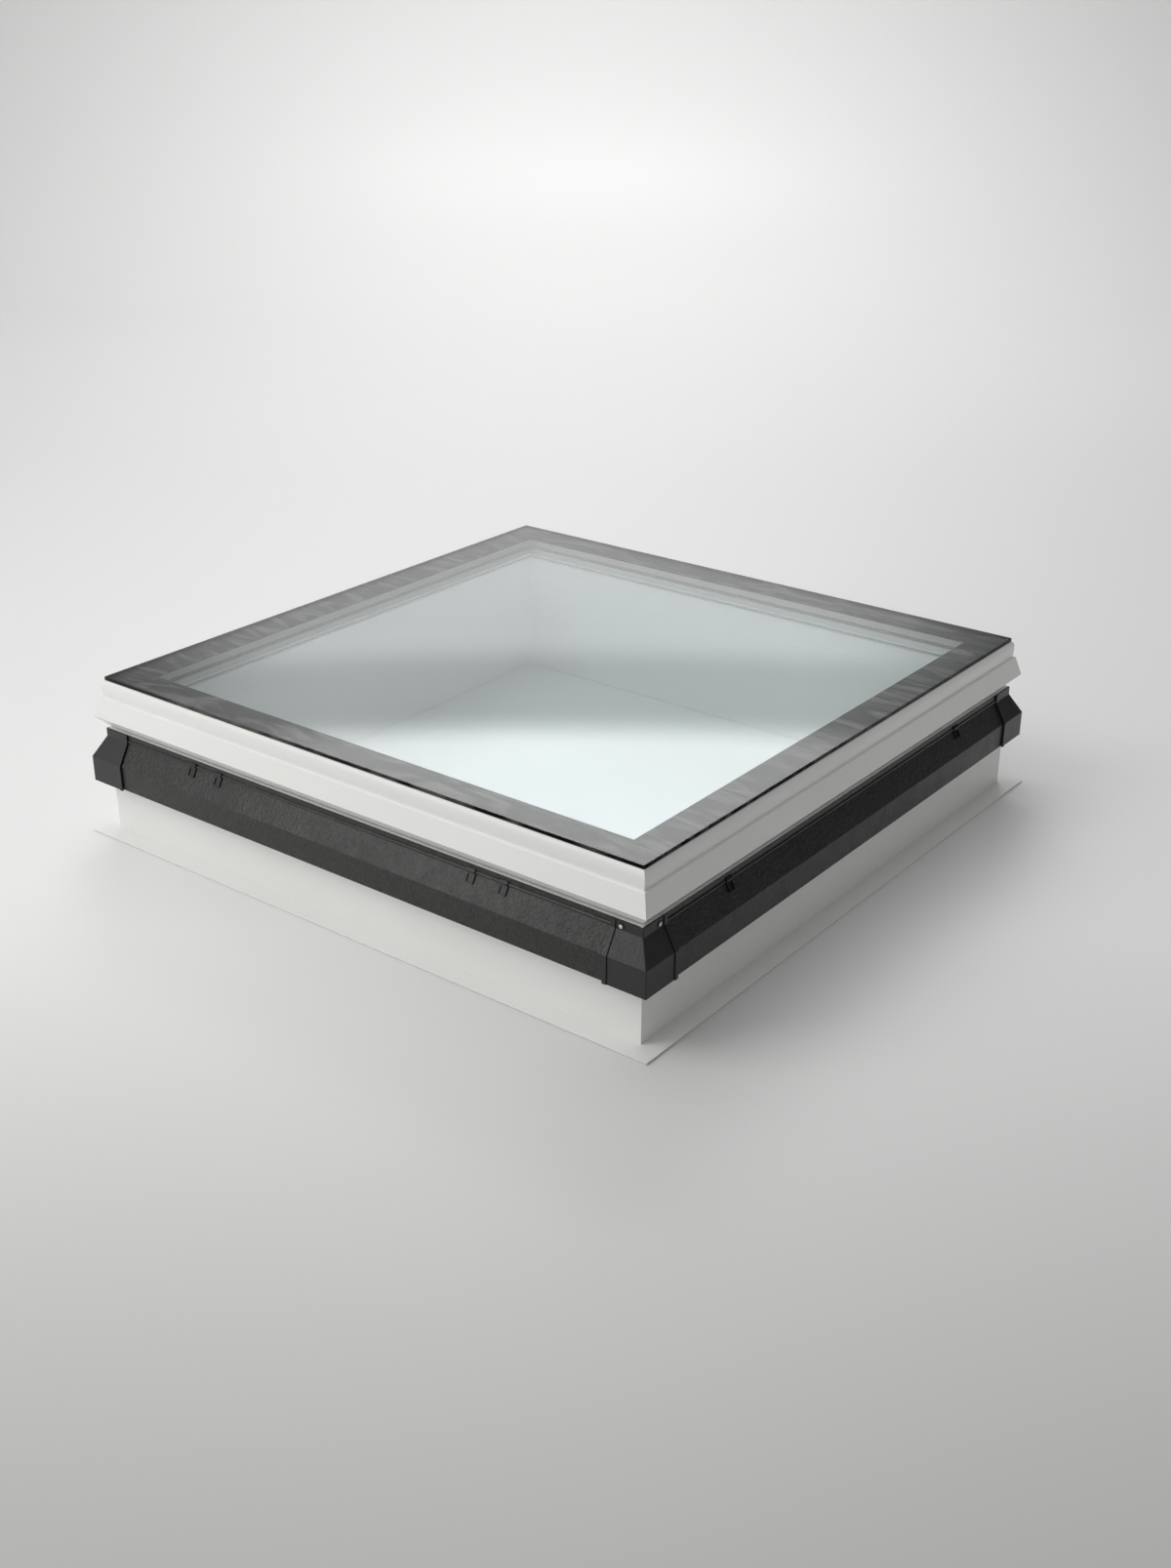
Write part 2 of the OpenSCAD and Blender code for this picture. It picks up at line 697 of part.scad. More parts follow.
module at_cover_screws() {
    for (s = [-case_len / 2 + cover_margin, -bay_half - cheek_t / 2 - 30, bay_half + cheek_t / 2 + 30,
            case_len / 2 - cover_margin])
        at_operator() translate([kerb_in_u, s, case_z + case_wall / 2 + 3]) children();
}

// White hatch in the kerb's inner wall
module operator_cover() {
    color("whitesmoke") difference() {
        at_operator() translate([kerb_in_u, -case_len / 2, case_z]) cube([kerb_shell_t, case_len, case_h]);
        at_cover_screws() rotate([0, 90, 0]) {
            translate([0, 0, -1]) cylinder(d = cover_screw_d, h = kerb_shell_t + 2);
            translate([0, 0, -1]) cylinder(d = cover_head_d, h = 2.4);
        }
    }
}

module cover_screws() {
    color("silver") at_cover_screws() rotate([0, 90, 0]) {
        cylinder(d = cover_head_d, h = 1.4);
        cylinder(d = cover_screw_d, h = kerb_shell_t);
    }
}

// Swivelling guide that the chain slides through
module chain_guide() {
    color("goldenrod") on_chain_line() translate([0, 0, -guide_drop]) difference() {
        union() {
            translate([-guide_half_y, -guide_half_x, -guide_h / 2])
                cube([2 * guide_half_y, 2 * guide_half_x, guide_h]);
            for (end = [0, 1]) mirror([0, end, 0])
                translate([0, guide_half_x - 1, 0]) rotate([-90, 0, 0])
                    cylinder(d = trunnion_d, h = trunnion_len + 1);
        }
        translate([-link_w / 2 - chain_clearance, -link_out - chain_clearance, -guide_h])
            cube([link_w + 2 * chain_clearance, 2 * (link_out + chain_clearance), 2 * guide_h]);
    }
}

// Drive chain, stowed straight down the kerb wall, with its end pin at the top
module drive_chain() {
    color("slategray") on_chain_line() {
        for (side = [0, 1]) mirror([0, side, 0])
            translate([0, link_out, 0]) rotate([90, 0, 0]) linear_extrude(link_plate_t) union() {
                for (i = [0 : link_count])
                    translate([0, -i * chain_pitch]) circle(d = link_w);
                translate([-link_w / 2 + 1, -link_count * chain_pitch])
                    square([link_w - 2, link_count * chain_pitch]);
            }
        translate([0, -link_out, 0]) rotate([-90, 0, 0]) cylinder(d = chain_pin_d, h = 2 * link_out);
        for (i = [1 : link_count])
            translate([0, -link_in - eps, -i * chain_pitch]) rotate([-90, 0, 0])
                cylinder(d = roller_d, h = 2 * (link_in + eps));
    }
}

// Bracket under the sash with a lug that takes the chain's end pin
module chain_bracket() {
    color("silver") at_operator() difference() {
        union() {
            translate([end_pin_u - lug_r - 1, -bracket_len / 2, sash_z - bracket_t])
                cube([bracket_w, bracket_len, bracket_t]);
            translate([end_pin_u - lug_r, -lug_half, end_pin_z])
                cube([2 * lug_r, 2 * lug_half, sash_z - bracket_t / 2 - end_pin_z]);
            translate([end_pin_u, -lug_half, end_pin_z]) rotate([-90, 0, 0])
                cylinder(r = lug_r, h = 2 * lug_half);
        }
        translate([end_pin_u, -lug_half - 1, end_pin_z]) rotate([-90, 0, 0])
            cylinder(d = chain_pin_d + 2 * end_pin_clearance, h = 2 * lug_half + 2);
        for (s = [-bracket_screw_s, bracket_screw_s])
            translate([bracket_screw_u, s, sash_z - bracket_t - 1]) {
                cylinder(d = leaf_screw_d, h = bracket_t + 2);
                cylinder(d = leaf_head_d, h = 1 + leaf_head_t);
            }
    }
}

module bracket_screws() {
    grip = 7;
    color("silver") at_operator() for (s = [-bracket_screw_s, bracket_screw_s])
        translate([bracket_screw_u, s, sash_z - bracket_t]) {
            cylinder(d = leaf_head_d, h = leaf_head_t);
            cylinder(d = leaf_screw_d, h = bracket_t + grip);
        }
}

kerb_frame();
kerb_insulation();
inner_seat_gasket();
outer_seat_gasket();
trim_strip(3);  // trim_strip_front
trim_strip(0);  // trim_strip_right
trim_strip(1);  // trim_strip_back
trim_strip(2);  // trim_strip_left
corner_cap(3);  // corner_cap_front_right
corner_cap(0);  // corner_cap_back_right
corner_cap(1);  // corner_cap_back_left
corner_cap(2);  // corner_cap_front_left
cap_screws();
trim_clips();
sash_frame();
sash_reinforcement();
outer_pane();
enamel_border();
spacer_frame();
edge_seal();
inner_pane();
inner_pane_gasket();
bed_seal();
hinge_kerb_leaves();
hinge_sash_leaves();
hinge_pins();
kerb_leaf_screws();
sash_leaf_screws();
operator_case();
drive_motor();
drive_gearbox();
control_board();
operator_cover();
cover_screws();
chain_guide();
drive_chain();
chain_bracket();
bracket_screws();
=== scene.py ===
"""The looks of a square flat-glass roof skylight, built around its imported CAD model."""

import json
import math

import bmesh
import bpy
from mathutils import Matrix, Vector


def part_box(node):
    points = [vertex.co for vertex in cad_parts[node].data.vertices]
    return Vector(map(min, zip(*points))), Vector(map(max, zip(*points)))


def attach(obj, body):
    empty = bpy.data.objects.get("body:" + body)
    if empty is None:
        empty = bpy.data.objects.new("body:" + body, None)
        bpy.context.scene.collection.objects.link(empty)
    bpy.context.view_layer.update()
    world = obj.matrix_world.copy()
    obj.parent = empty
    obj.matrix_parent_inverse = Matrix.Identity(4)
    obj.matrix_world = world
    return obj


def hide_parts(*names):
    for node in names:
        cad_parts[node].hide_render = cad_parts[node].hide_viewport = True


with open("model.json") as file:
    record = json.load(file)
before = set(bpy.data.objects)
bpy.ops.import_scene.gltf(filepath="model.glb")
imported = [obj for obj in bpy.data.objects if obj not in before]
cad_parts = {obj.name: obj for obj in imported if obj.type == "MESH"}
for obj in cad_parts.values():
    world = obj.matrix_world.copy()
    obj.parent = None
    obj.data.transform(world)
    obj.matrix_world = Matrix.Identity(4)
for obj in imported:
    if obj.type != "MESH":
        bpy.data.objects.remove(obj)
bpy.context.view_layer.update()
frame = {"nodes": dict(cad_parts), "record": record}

MM = 0.001

# ---- camera, stage and light ----

CAMERA_AT = Vector((1.9351, -2.4825, 1.5024))
CAMERA_YAW = math.radians(-37.448)
CAMERA_PITCH = math.radians(-24.844)
CAMERA_ROLL = math.radians(0.275)
CAMERA_LENS = 41.48
SENSOR_HEIGHT = 36.0

SKY_TILT = (math.radians(-41), math.radians(23.6), 0)
SKY_DIM = (0.08, 0.082, 0.084, 1)
SKY_BRIGHT = (0.60, 0.60, 0.60, 1)
SKY_BRIGHT_FROM = 0.9
GLOW_WAY = (-0.62, 0.785, 0)
GLOW_FADE = (0.958, 0.992)
GLOW_PROFILE = ((0.0, 0.35), (0.27, 0.52), (0.345, 0.44), (0.362, 0.28), (0.383, 0.28), (0.402, 0.85),
                (0.47, 1.0), (0.60, 0.8), (0.85, 0.0))
GLOW_RADIANCE = 2.1
WARM_WHITE = (1.0, 0.99, 0.975)
COOL_WHITE = (0.97, 0.99, 1.0)
PURE_WHITE = (1.0, 1.0, 1.0)

# The floor: pale at the back, with painted shade darkening its colour towards the front, nearest the
# camera.
FLOOR_PALE = (0.86, 0.865, 0.855)
FLOOR_PAINTED_SHADE = (0.46, 0.46, 0.45)
FLOOR_UNSHADED_FROM = -0.5
FLOOR_PAINTED_SHADE_AT = -2.2


def place_camera():
    """The camera stands off the corner between the opening side and the right side."""
    forward = Vector((
        math.sin(CAMERA_YAW) * math.cos(CAMERA_PITCH),
        math.cos(CAMERA_YAW) * math.cos(CAMERA_PITCH),
        math.sin(CAMERA_PITCH),
    ))
    level = forward.cross(Vector((0, 0, 1))).normalized()
    upright = level.cross(forward)
    right = level * math.cos(CAMERA_ROLL) + upright * math.sin(CAMERA_ROLL)
    up = upright * math.cos(CAMERA_ROLL) - level * math.sin(CAMERA_ROLL)
    turn = Matrix((right, up, -forward)).transposed().to_4x4()
    data = bpy.data.cameras.new("camera")
    data.sensor_fit = "VERTICAL"
    data.sensor_height = SENSOR_HEIGHT
    data.lens = CAMERA_LENS
    data.clip_end = 50
    camera = bpy.data.objects.new("camera", data)
    camera.matrix_world = Matrix.Translation(CAMERA_AT) @ turn
    bpy.context.scene.collection.objects.link(camera)
    bpy.context.scene.camera = camera


def soft_box(name, at, aim, size, radiance, colour):
    """A rectangular soft box at a point, turned towards another, given by its brightness."""
    data = bpy.data.lights.new(name, "AREA")
    data.shape = "RECTANGLE"
    data.size, data.size_y = size
    data.energy = radiance * math.pi * size[0] * size[1]
    data.color = colour
    light = bpy.data.objects.new(name, data)
    light.location = at
    light.rotation_euler = (Vector(aim) - Vector(at)).to_track_quat("-Z", "Y").to_euler()
    bpy.context.scene.collection.objects.link(light)


def soft_boxes():
    """Key light from the front left, with low fills, a light above and one washing the sweep."""
    soft_box("key", (-1.7, -2.5, 3.6), (0, 0, 0.1), (2.3, 2.3), 3.3, WARM_WHITE)
    soft_box("front", (-2.1, -3.5, 1.3), (0, 0, 0.2), (1.7, 1.4), 2.35, WARM_WHITE)
    soft_box("right", (3.3, 0.5, 1.0), (0, 0, 0.15), (1.6, 1.2), 0.65, WARM_WHITE)
    soft_box("overhead", (-1.0, 0.6, 3.8), (0, 0, 0.1), (2.6, 2.6), 1.5, COOL_WHITE)
    soft_box("behind", (-3.0, 3.9, 4.2), (-4.0, 5.2, 0.2), (2.8, 1.4), 8.0, PURE_WHITE)


def pale_world():
    """A plain pale surround, brightest at the front left, with a soft glow behind the object.

    The glow is bright low down and high up, with a dimmer band between, as over a sweep's top edge."""
    world = bpy.data.worlds.new("surround")
    world.use_nodes = True
    tree = world.node_tree
    background = tree.nodes["Background"]
    background.inputs["Strength"].default_value = 1.0

    def node(kind, **settings):
        made = tree.nodes.new(kind)
        for key, value in settings.items():
            setattr(made, key, value)
        return made

    coords = node("ShaderNodeTexCoord").outputs["Generated"]
    tilt = node("ShaderNodeMapping", vector_type="POINT")
    tilt.inputs["Rotation"].default_value = SKY_TILT
    height = node("ShaderNodeSeparateXYZ")
    ramp = node("ShaderNodeValToRGB")
    ramp.color_ramp.elements[0].color = SKY_DIM
    ramp.color_ramp.elements[1].color = SKY_BRIGHT
    ramp.color_ramp.elements[1].position = SKY_BRIGHT_FROM
    tree.links.new(coords, tilt.inputs["Vector"])
    tree.links.new(tilt.outputs["Vector"], height.inputs[0])
    tree.links.new(height.outputs["Z"], ramp.inputs["Fac"])

    rise = node("ShaderNodeSeparateXYZ")
    profile = node("ShaderNodeValToRGB")
    profile.color_ramp.interpolation = "EASE"
    stops = profile.color_ramp.elements
    for position, value in GLOW_PROFILE[1:-1]:
        stops.new(position).color = (value, value, value, 1)
    for stop, (position, value) in ((stops[0], GLOW_PROFILE[0]), (stops[-1], GLOW_PROFILE[-1])):
        stop.position = position
        stop.color = (value, value, value, 1)
    tree.links.new(coords, rise.inputs[0])
    tree.links.new(rise.outputs["Z"], profile.inputs["Fac"])

    flat = node("ShaderNodeVectorMath", operation="MULTIPLY")
    flat.inputs[1].default_value = (1, 1, 0)
    unit = node("ShaderNodeVectorMath", operation="NORMALIZE")
    facing = node("ShaderNodeVectorMath", operation="DOT_PRODUCT")
    facing.inputs[1].default_value = GLOW_WAY
    fade = node("ShaderNodeMapRange", interpolation_type="SMOOTHSTEP")
    fade.inputs["From Min"].default_value, fade.inputs["From Max"].default_value = GLOW_FADE
    fade.inputs["To Max"].default_value = GLOW_RADIANCE
    tree.links.new(coords, flat.inputs[0])
    tree.links.new(flat.outputs["Vector"], unit.inputs[0])
    tree.links.new(unit.outputs["Vector"], facing.inputs[0])
    tree.links.new(facing.outputs["Value"], fade.inputs["Value"])

    glow = node("ShaderNodeMath", operation="MULTIPLY")
    tree.links.new(profile.outputs["Color"], glow.inputs[0])
    tree.links.new(fade.outputs["Result"], glow.inputs[1])
    add = node("ShaderNodeMix", data_type="RGBA", blend_type="ADD")
    add.inputs[0].default_value = 1.0
    tree.links.new(ramp.outputs["Color"], add.inputs[6])
    tree.links.new(glow.outputs[0], add.inputs[7])
    tree.links.new(add.outputs[2], background.inputs["Color"])
    bpy.context.scene.world = world


def backdrop(material):
    """A floor that sweeps up behind the object, across the camera's line of sight."""
    half_width = 9.0
    front, back, sweep, height = -4.5, 5.2, 1.3, 1.5
    steps = 24
    bm = bmesh.new()
    low = [bm.verts.new((x, front, 0)) for x in (-half_width, half_width)]
    edge = bm.edges.new(low)
    grown = bmesh.ops.extrude_edge_only(bm, edges=[edge])["geom"]
    verts = [g for g in grown if isinstance(g, bmesh.types.BMVert)]
    bmesh.ops.translate(bm, verts=verts, vec=(0, back - front, 0))
    edge = [g for g in grown if isinstance(g, bmesh.types.BMEdge)
            and all(v.co.y > back - MM for v in g.verts)]
    spun = bmesh.ops.spin(bm, geom=verts + edge, cent=(0, back, sweep), axis=(1, 0, 0),
                          angle=math.pi / 2, steps=steps)["geom_last"]
    edge = [g for g in spun if isinstance(g, bmesh.types.BMEdge)]
    grown = bmesh.ops.extrude_edge_only(bm, edges=edge)["geom"]
    verts = [g for g in grown if isinstance(g, bmesh.types.BMVert)]
    bmesh.ops.translate(bm, verts=verts, vec=(0, 0, height - sweep))
    bmesh.ops.rotate(bm, verts=bm.verts, matrix=Matrix.Rotation(-CAMERA_YAW, 3, "Z"))
    bmesh.ops.recalc_face_normals(bm, faces=bm.faces)
    mesh = bpy.data.meshes.new("backdrop")
    bm.to_mesh(mesh)
    bm.free()
    for face in mesh.polygons:
        face.use_smooth = True
    mesh.materials.append(material)
    floor = bpy.data.objects.new("backdrop", mesh)
    bpy.context.scene.collection.objects.link(floor)


# ---- materials ----


class Finish:
    """A material on one Principled shader, with short calls for its patterns."""

    def __init__(self, name, colour, roughness, metallic=0.0):
        self.material = bpy.data.materials.new(name)
        self.material.use_nodes = True
        self.tree = self.material.node_tree
        self.shader = self.tree.nodes["Principled BSDF"]
        self.shader.inputs["Base Color"].default_value = (*colour, 1)
        self.shader.inputs["Roughness"].default_value = roughness
        self.shader.inputs["Metallic"].default_value = metallic
        self.coords = self.tree.nodes.new("ShaderNodeTexCoord").outputs["Object"]

    def node(self, kind, **settings):
        made = self.tree.nodes.new(kind)
        for key, value in settings.items():
            if key in made.inputs:
                made.inputs[key].default_value = value
            else:
                setattr(made, key, value)
        return made

    def link(self, source, target):
        self.tree.links.new(source, target)

    def stretched(self, scale):
        """Object coordinates scaled by a factor on each axis."""
        mapping = self.node("ShaderNodeMapping")
        mapping.inputs["Scale"].default_value = scale
        self.link(self.coords, mapping.inputs["Vector"])
        return mapping.outputs["Vector"]

    def noise(self, scale, detail=3.0, distortion=0.0, vector=None):
        made = self.node("ShaderNodeTexNoise", Scale=scale, Detail=detail, Distortion=distortion)
        self.link(vector or self.coords, made.inputs["Vector"])
        return made.outputs["Fac"]

    def cells(self, scale, vector=None, feature="F1"):
        made = self.node("ShaderNodeTexVoronoi", Scale=scale, feature=feature)
        self.link(vector or self.coords, made.inputs["Vector"])
        return made.outputs["Distance"]

    def remap(self, value, low, high, from_low=0.2, from_high=0.8):
        made = self.node("ShaderNodeMapRange")
        for socket, number in zip(("From Min", "From Max", "To Min", "To Max"),
                                  (from_low, from_high, low, high)):
            made.inputs[socket].default_value = number
        self.link(value, made.inputs["Value"])
        return made.outputs["Result"]

    def vary_roughness(self, value, low, high):
        self.link(self.remap(value, low, high), self.shader.inputs["Roughness"])
        return self

    def vary_colour(self, value, dark, light, from_low=0.2, from_high=0.8):
        mix = self.node("ShaderNodeMix", data_type="RGBA")
        mix.inputs[6].default_value = (*dark, 1)
        mix.inputs[7].default_value = (*light, 1)
        self.link(self.remap(value, 0, 1, from_low, from_high), mix.inputs[0])
        self.link(mix.outputs[2], self.shader.inputs["Base Color"])
        return self

    def bump(self, height, strength, distance):
        made = self.node("ShaderNodeBump")
        made.inputs["Strength"].default_value = strength
        made.inputs["Distance"].default_value = distance
        self.link(height, made.inputs["Height"])
        if self.shader.inputs["Normal"].is_linked:
            self.link(self.shader.inputs["Normal"].links[0].from_socket, made.inputs["Normal"])
        self.link(made.outputs["Normal"], self.shader.inputs["Normal"])
        return self


def white_plastic():
    """Extruded white plastic: satin, faintly warm, with the soft ripple of an extrusion."""
    f = Finish("white_plastic", (0.88, 0.88, 0.86), 0.34)
    f.vary_colour(f.noise(3.0, 4), (0.865, 0.865, 0.845), (0.895, 0.895, 0.88))
    f.vary_roughness(f.noise(14.0, 5), 0.29, 0.40)
    f.bump(f.noise(7.0, 2), 0.12, 0.4 * MM)
    f.bump(f.noise(1400.0, 2), 0.05, 0.05 * MM)
    return f.material


def leather_grain(f, strength):
    """Fine grain of small soft pads with creases between them, pressed into black plastic."""
    f.bump(f.cells(220.0, feature="SMOOTH_F1"), strength, 0.8 * MM)
    f.bump(f.noise(120.0, 4, 0.6), strength * 0.6, 0.5 * MM)


def black_trim():
    f = Finish("black_trim", (0.012, 0.012, 0.012), 0.42)
    f.vary_colour(f.noise(170.0, 4, 0.4), (0.006, 0.006, 0.0055), (0.018, 0.0177, 0.0165), 0.38, 0.62)
    f.vary_roughness(f.noise(30.0, 6), 0.28, 0.46)
    leather_grain(f, 0.8)
    return f.material


def black_cap():
    f = Finish("black_cap", (0.011, 0.011, 0.011), 0.38)
    f.vary_colour(f.noise(12.0, 5, 0.4), (0.009, 0.009, 0.009), (0.014, 0.014, 0.014))
    f.vary_roughness(f.noise(40.0, 6), 0.28, 0.40)
    leather_grain(f, 0.3)
    return f.material


def black_clip():
    f = Finish("black_clip", (0.002, 0.002, 0.002), 0.32)
    f.shader.inputs["IOR"].default_value = 1.45
    f.vary_colour(f.noise(90.0, 4), (0.0015, 0.0015, 0.0015), (0.0028, 0.0028, 0.0027))
    f.vary_roughness(f.noise(300.0, 4), 0.26, 0.38)
    f.bump(f.noise(900.0, 3), 0.1, 0.1 * MM)
    return f.material


def rubber(name, colour):
    f = Finish(name, colour, 0.62)
    f.vary_colour(f.noise(40.0, 4), [0.85 * part for part in colour], [1.15 * part for part in colour])
    f.vary_roughness(f.noise(160.0, 5), 0.52, 0.74)
    f.bump(f.noise(700.0, 4), 0.25, 0.15 * MM)
    return f.material


def enamel():
    """Fired black enamel bonded to the glass, with faint wiped streaks in its gloss."""
    f = Finish("black_enamel", (0.020, 0.020, 0.019), 0.34)
    f.shader.inputs["Specular IOR Level"].default_value = 0.12
    streaks = f.noise(7.0, 9, 1.8, f.stretched((1.0, 3.2, 1.0)))
    f.vary_colour(streaks, (0.001, 0.001, 0.001), (0.12, 0.118, 0.11), 0.47, 0.68)
    f.vary_roughness(streaks, 0.24, 0.50)
    f.bump(streaks, 0.04, 0.02 * MM)
    return f.material


def clear_glass():
    """Thin-looking clear glass: a faint blue-green body under a mirror coat on every face.

    Rays from lamps and from diffuse surfaces pass straight through it, so the light shaft is lit."""
    f = Finish("clear_glass", (0.95, 0.985, 0.985), 0.0)
    f.shader.inputs["Transmission Weight"].default_value = 1.0
    f.shader.inputs["IOR"].default_value = 1.02
    f.shader.inputs["Coat Weight"].default_value = 1.0
    f.shader.inputs["Coat IOR"].default_value = 1.5
    f.shader.inputs["Coat Roughness"].default_value = 0.0
    f.bump(f.noise(1.6, 2), 0.02, 0.3 * MM)
    path = f.node("ShaderNodeLightPath")
    straight = f.node("ShaderNodeMath", operation="MAXIMUM")
    open_way = f.node("ShaderNodeBsdfTransparent")
    open_way.inputs["Color"].default_value = (0.785, 0.81, 0.812, 1)
    mix = f.node("ShaderNodeMixShader")
    output = f.tree.nodes["Material Output"]
    f.link(path.outputs["Is Shadow Ray"], straight.inputs[0])
    f.link(path.outputs["Is Diffuse Ray"], straight.inputs[1])
    f.link(straight.outputs[0], mix.inputs["Fac"])
    f.link(f.shader.outputs["BSDF"], mix.inputs[1])
    f.link(open_way.outputs["BSDF"], mix.inputs[2])
    f.link(mix.outputs["Shader"], output.inputs["Surface"])
    return f.material


def spacer_metal():
    """Warm grey spacer with its fine lengthwise brushing."""
    f = Finish("spacer_grey", (0.44, 0.43, 0.405), 0.42, 0.55)
    brushed = f.noise(4.0, 4, 0.0, f.stretched((30.0, 30.0, 900.0)))
    f.vary_colour(brushed, (0.42, 0.41, 0.385), (0.46, 0.45, 0.425))
    f.vary_roughness(brushed, 0.34, 0.52)
    f.bump(brushed, 0.2, 0.05 * MM)
    return f.material


def bright_steel():
    f = Finish("bright_steel", (0.80, 0.80, 0.79), 0.22, 1.0)
    f.vary_colour(f.noise(240.0, 5), (0.76, 0.76, 0.75), (0.84, 0.84, 0.83))
    f.vary_roughness(f.noise(500.0, 5), 0.16, 0.32)
    f.bump(f.noise(1500.0, 3), 0.1, 0.03 * MM)
    return f.material


def plated_steel():
    """Zinc plating: mottled, with a faint yellow-blue cast."""
    f = Finish("plated_steel", (0.62, 0.62, 0.60), 0.36, 1.0)
    f.vary_colour(f.noise(60.0, 6, 0.5), (0.56, 0.57, 0.58), (0.68, 0.66, 0.60))
    f.vary_roughness(f.noise(240.0, 5), 0.28, 0.46)
    f.bump(f.noise(900.0, 3), 0.1, 0.04 * MM)
    return f.material


def galvanised():
    """Galvanised sheet with its crystal spangle."""
    f = Finish("galvanised", (0.55, 0.56, 0.57), 0.45, 1.0)
    f.vary_colour(f.cells(90.0), (0.46, 0.47, 0.49), (0.64, 0.65, 0.66), 0.1, 0.6)
    f.vary_roughness(f.cells(90.0), 0.34, 0.56)
    f.bump(f.cells(90.0), 0.1, 0.05 * MM)
    return f.material


def foam():
    f = Finish("foam", (0.72, 0.73, 0.73), 0.85)
    f.vary_colour(f.noise(90.0, 5), (0.64, 0.65, 0.66), (0.78, 0.79, 0.79))
    f.vary_roughness(f.noise(140.0, 4), 0.78, 0.92)
    f.bump(f.cells(260.0), 0.6, 0.8 * MM)
    return f.material


def anodised():
    f = Finish("case_aluminium", (0.70, 0.71, 0.72), 0.38, 0.9)
    brushed = f.noise(6.0, 5, 0.0, f.stretched((4.0, 300.0, 300.0)))
    f.vary_colour(brushed, (0.67, 0.68, 0.69), (0.73, 0.74, 0.75))
    f.vary_roughness(brushed, 0.30, 0.48)
    f.bump(brushed, 0.15, 0.04 * MM)
    return f.material


def motor_paint():
    f = Finish("motor_paint", (0.045, 0.045, 0.05), 0.4)
    f.vary_colour(f.noise(70.0, 4), (0.038, 0.038, 0.043), (0.052, 0.052, 0.058))
    f.vary_roughness(f.noise(200.0, 5), 0.32, 0.5)
    f.bump(f.noise(600.0, 3), 0.2, 0.08 * MM)
    return f.material


def cast_zinc():
    f = Finish("cast_zinc", (0.48, 0.48, 0.48), 0.5, 0.9)
    f.vary_colour(f.noise(120.0, 6), (0.42, 0.42, 0.42), (0.54, 0.54, 0.53))
    f.vary_roughness(f.noise(300.0, 4), 0.44, 0.60)
    f.bump(f.noise(420.0, 4), 0.35, 0.15 * MM)
    return f.material


def board_lacquer():
    """Green lacquer over faint copper tracks."""
    f = Finish("board_green", (0.02, 0.16, 0.07), 0.3)
    tracks = f.cells(180.0, f.stretched((1.0, 1.0, 2.0)), "DISTANCE_TO_EDGE")
    f.vary_colour(tracks, (0.06, 0.30, 0.12), (0.015, 0.13, 0.055), 0.02, 0.12)
    f.vary_roughness(f.noise(300.0, 4), 0.24, 0.4)
    f.bump(tracks, 0.3, 0.04 * MM)
    return f.material


def oiled_steel():
    f = Finish("chain_steel", (0.33, 0.33, 0.34), 0.3, 1.0)
    f.vary_colour(f.noise(220.0, 6), (0.24, 0.235, 0.23), (0.42, 0.42, 0.43))
    f.vary_roughness(f.noise(350.0, 5), 0.2, 0.45)
    f.bump(f.noise(700.0, 4), 0.15, 0.05 * MM)
    return f.material


def bronze():
    f = Finish("guide_bronze", (0.60, 0.45, 0.24), 0.34, 1.0)
    f.vary_colour(f.noise(150.0, 5), (0.52, 0.38, 0.20), (0.68, 0.52, 0.30))
    f.vary_roughness(f.noise(300.0, 4), 0.26, 0.44)
    f.bump(f.noise(600.0, 4), 0.15, 0.05 * MM)
    return f.material


def pale_floor():
    """The stage: pale, with a soft sheen, and painted shade darkening its colour towards the front."""
    f = Finish("pale_floor", FLOOR_PALE, 0.46)
    f.shader.inputs["Specular IOR Level"].default_value = 0.35
    # Painted shade: the floor colour darkens along the camera's view towards the front, standing in
    # for light falling off there.
    painted_shade_depth = f.node("ShaderNodeVectorMath", operation="DOT_PRODUCT")
    painted_shade_depth.inputs[1].default_value = (math.sin(CAMERA_YAW), math.cos(CAMERA_YAW), 0)
    f.link(f.coords, painted_shade_depth.inputs[0])
    f.vary_colour(painted_shade_depth.outputs["Value"], FLOOR_PAINTED_SHADE, FLOOR_PALE, FLOOR_PAINTED_SHADE_AT, FLOOR_UNSHADED_FROM)
    f.vary_roughness(f.noise(0.7, 1), 0.43, 0.50)
    return f.material


# ---- pieces ----

CORNER_ANGLE = math.radians(60)
ARRIS_REACH = 605 * MM
ARRIS_EASE = 2.0 * MM
FLANGE_REACH = 620 * MM
FOOT_EASE = 2.6 * MM
SHAFT_EASE = 3.0 * MM
SPACER_WIDTH = 12 * MM
ENAMEL_OVERHANG = 6.6 * MM
ENAMEL_BEDDING = 0.1 * MM
WELD_DISTANCE = 0.002 * MM
FLAT_ANGLE = math.radians(0.3)


def add_piece(name, bm, body, material, nodes):
    """Turns a bmesh into a piece that rides on a body and stands for CAD nodes."""
    mesh = bpy.data.meshes.new(name)
    bm.to_mesh(mesh)
    bm.free()
    for face in mesh.polygons:
        face.use_smooth = True
    mesh.materials.append(material)
    piece = bpy.data.objects.new(name, mesh)
    bpy.context.scene.collection.objects.link(piece)
    shading = piece.modifiers.new("even_shading", "WEIGHTED_NORMAL")
    shading.mode = "FACE_AREA"
    shading.keep_sharp = True
    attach(piece, body)
    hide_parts(*nodes)
    return piece


def cut_back(bm, edges, offset, segments):
    """Bevels edges by an offset: one segment for a chamfer, more for a rounding."""
    bmesh.ops.bevel(bm, geom=edges, offset=offset, offset_type="OFFSET", affect="EDGES",
                    segments=segments, profile=0.5, clamp_overlap=True, material=-1)


def sharp_edges(bm, least):
    """Edges where two faces meet at more than the given angle."""
    return [e for e in bm.edges
            if len(e.link_faces) == 2 and e.calc_face_angle(0) > least]


def body_of(node):
    return next(b for b, nodes in frame["record"]["behaviour"]["bodies"].items() if node in nodes)


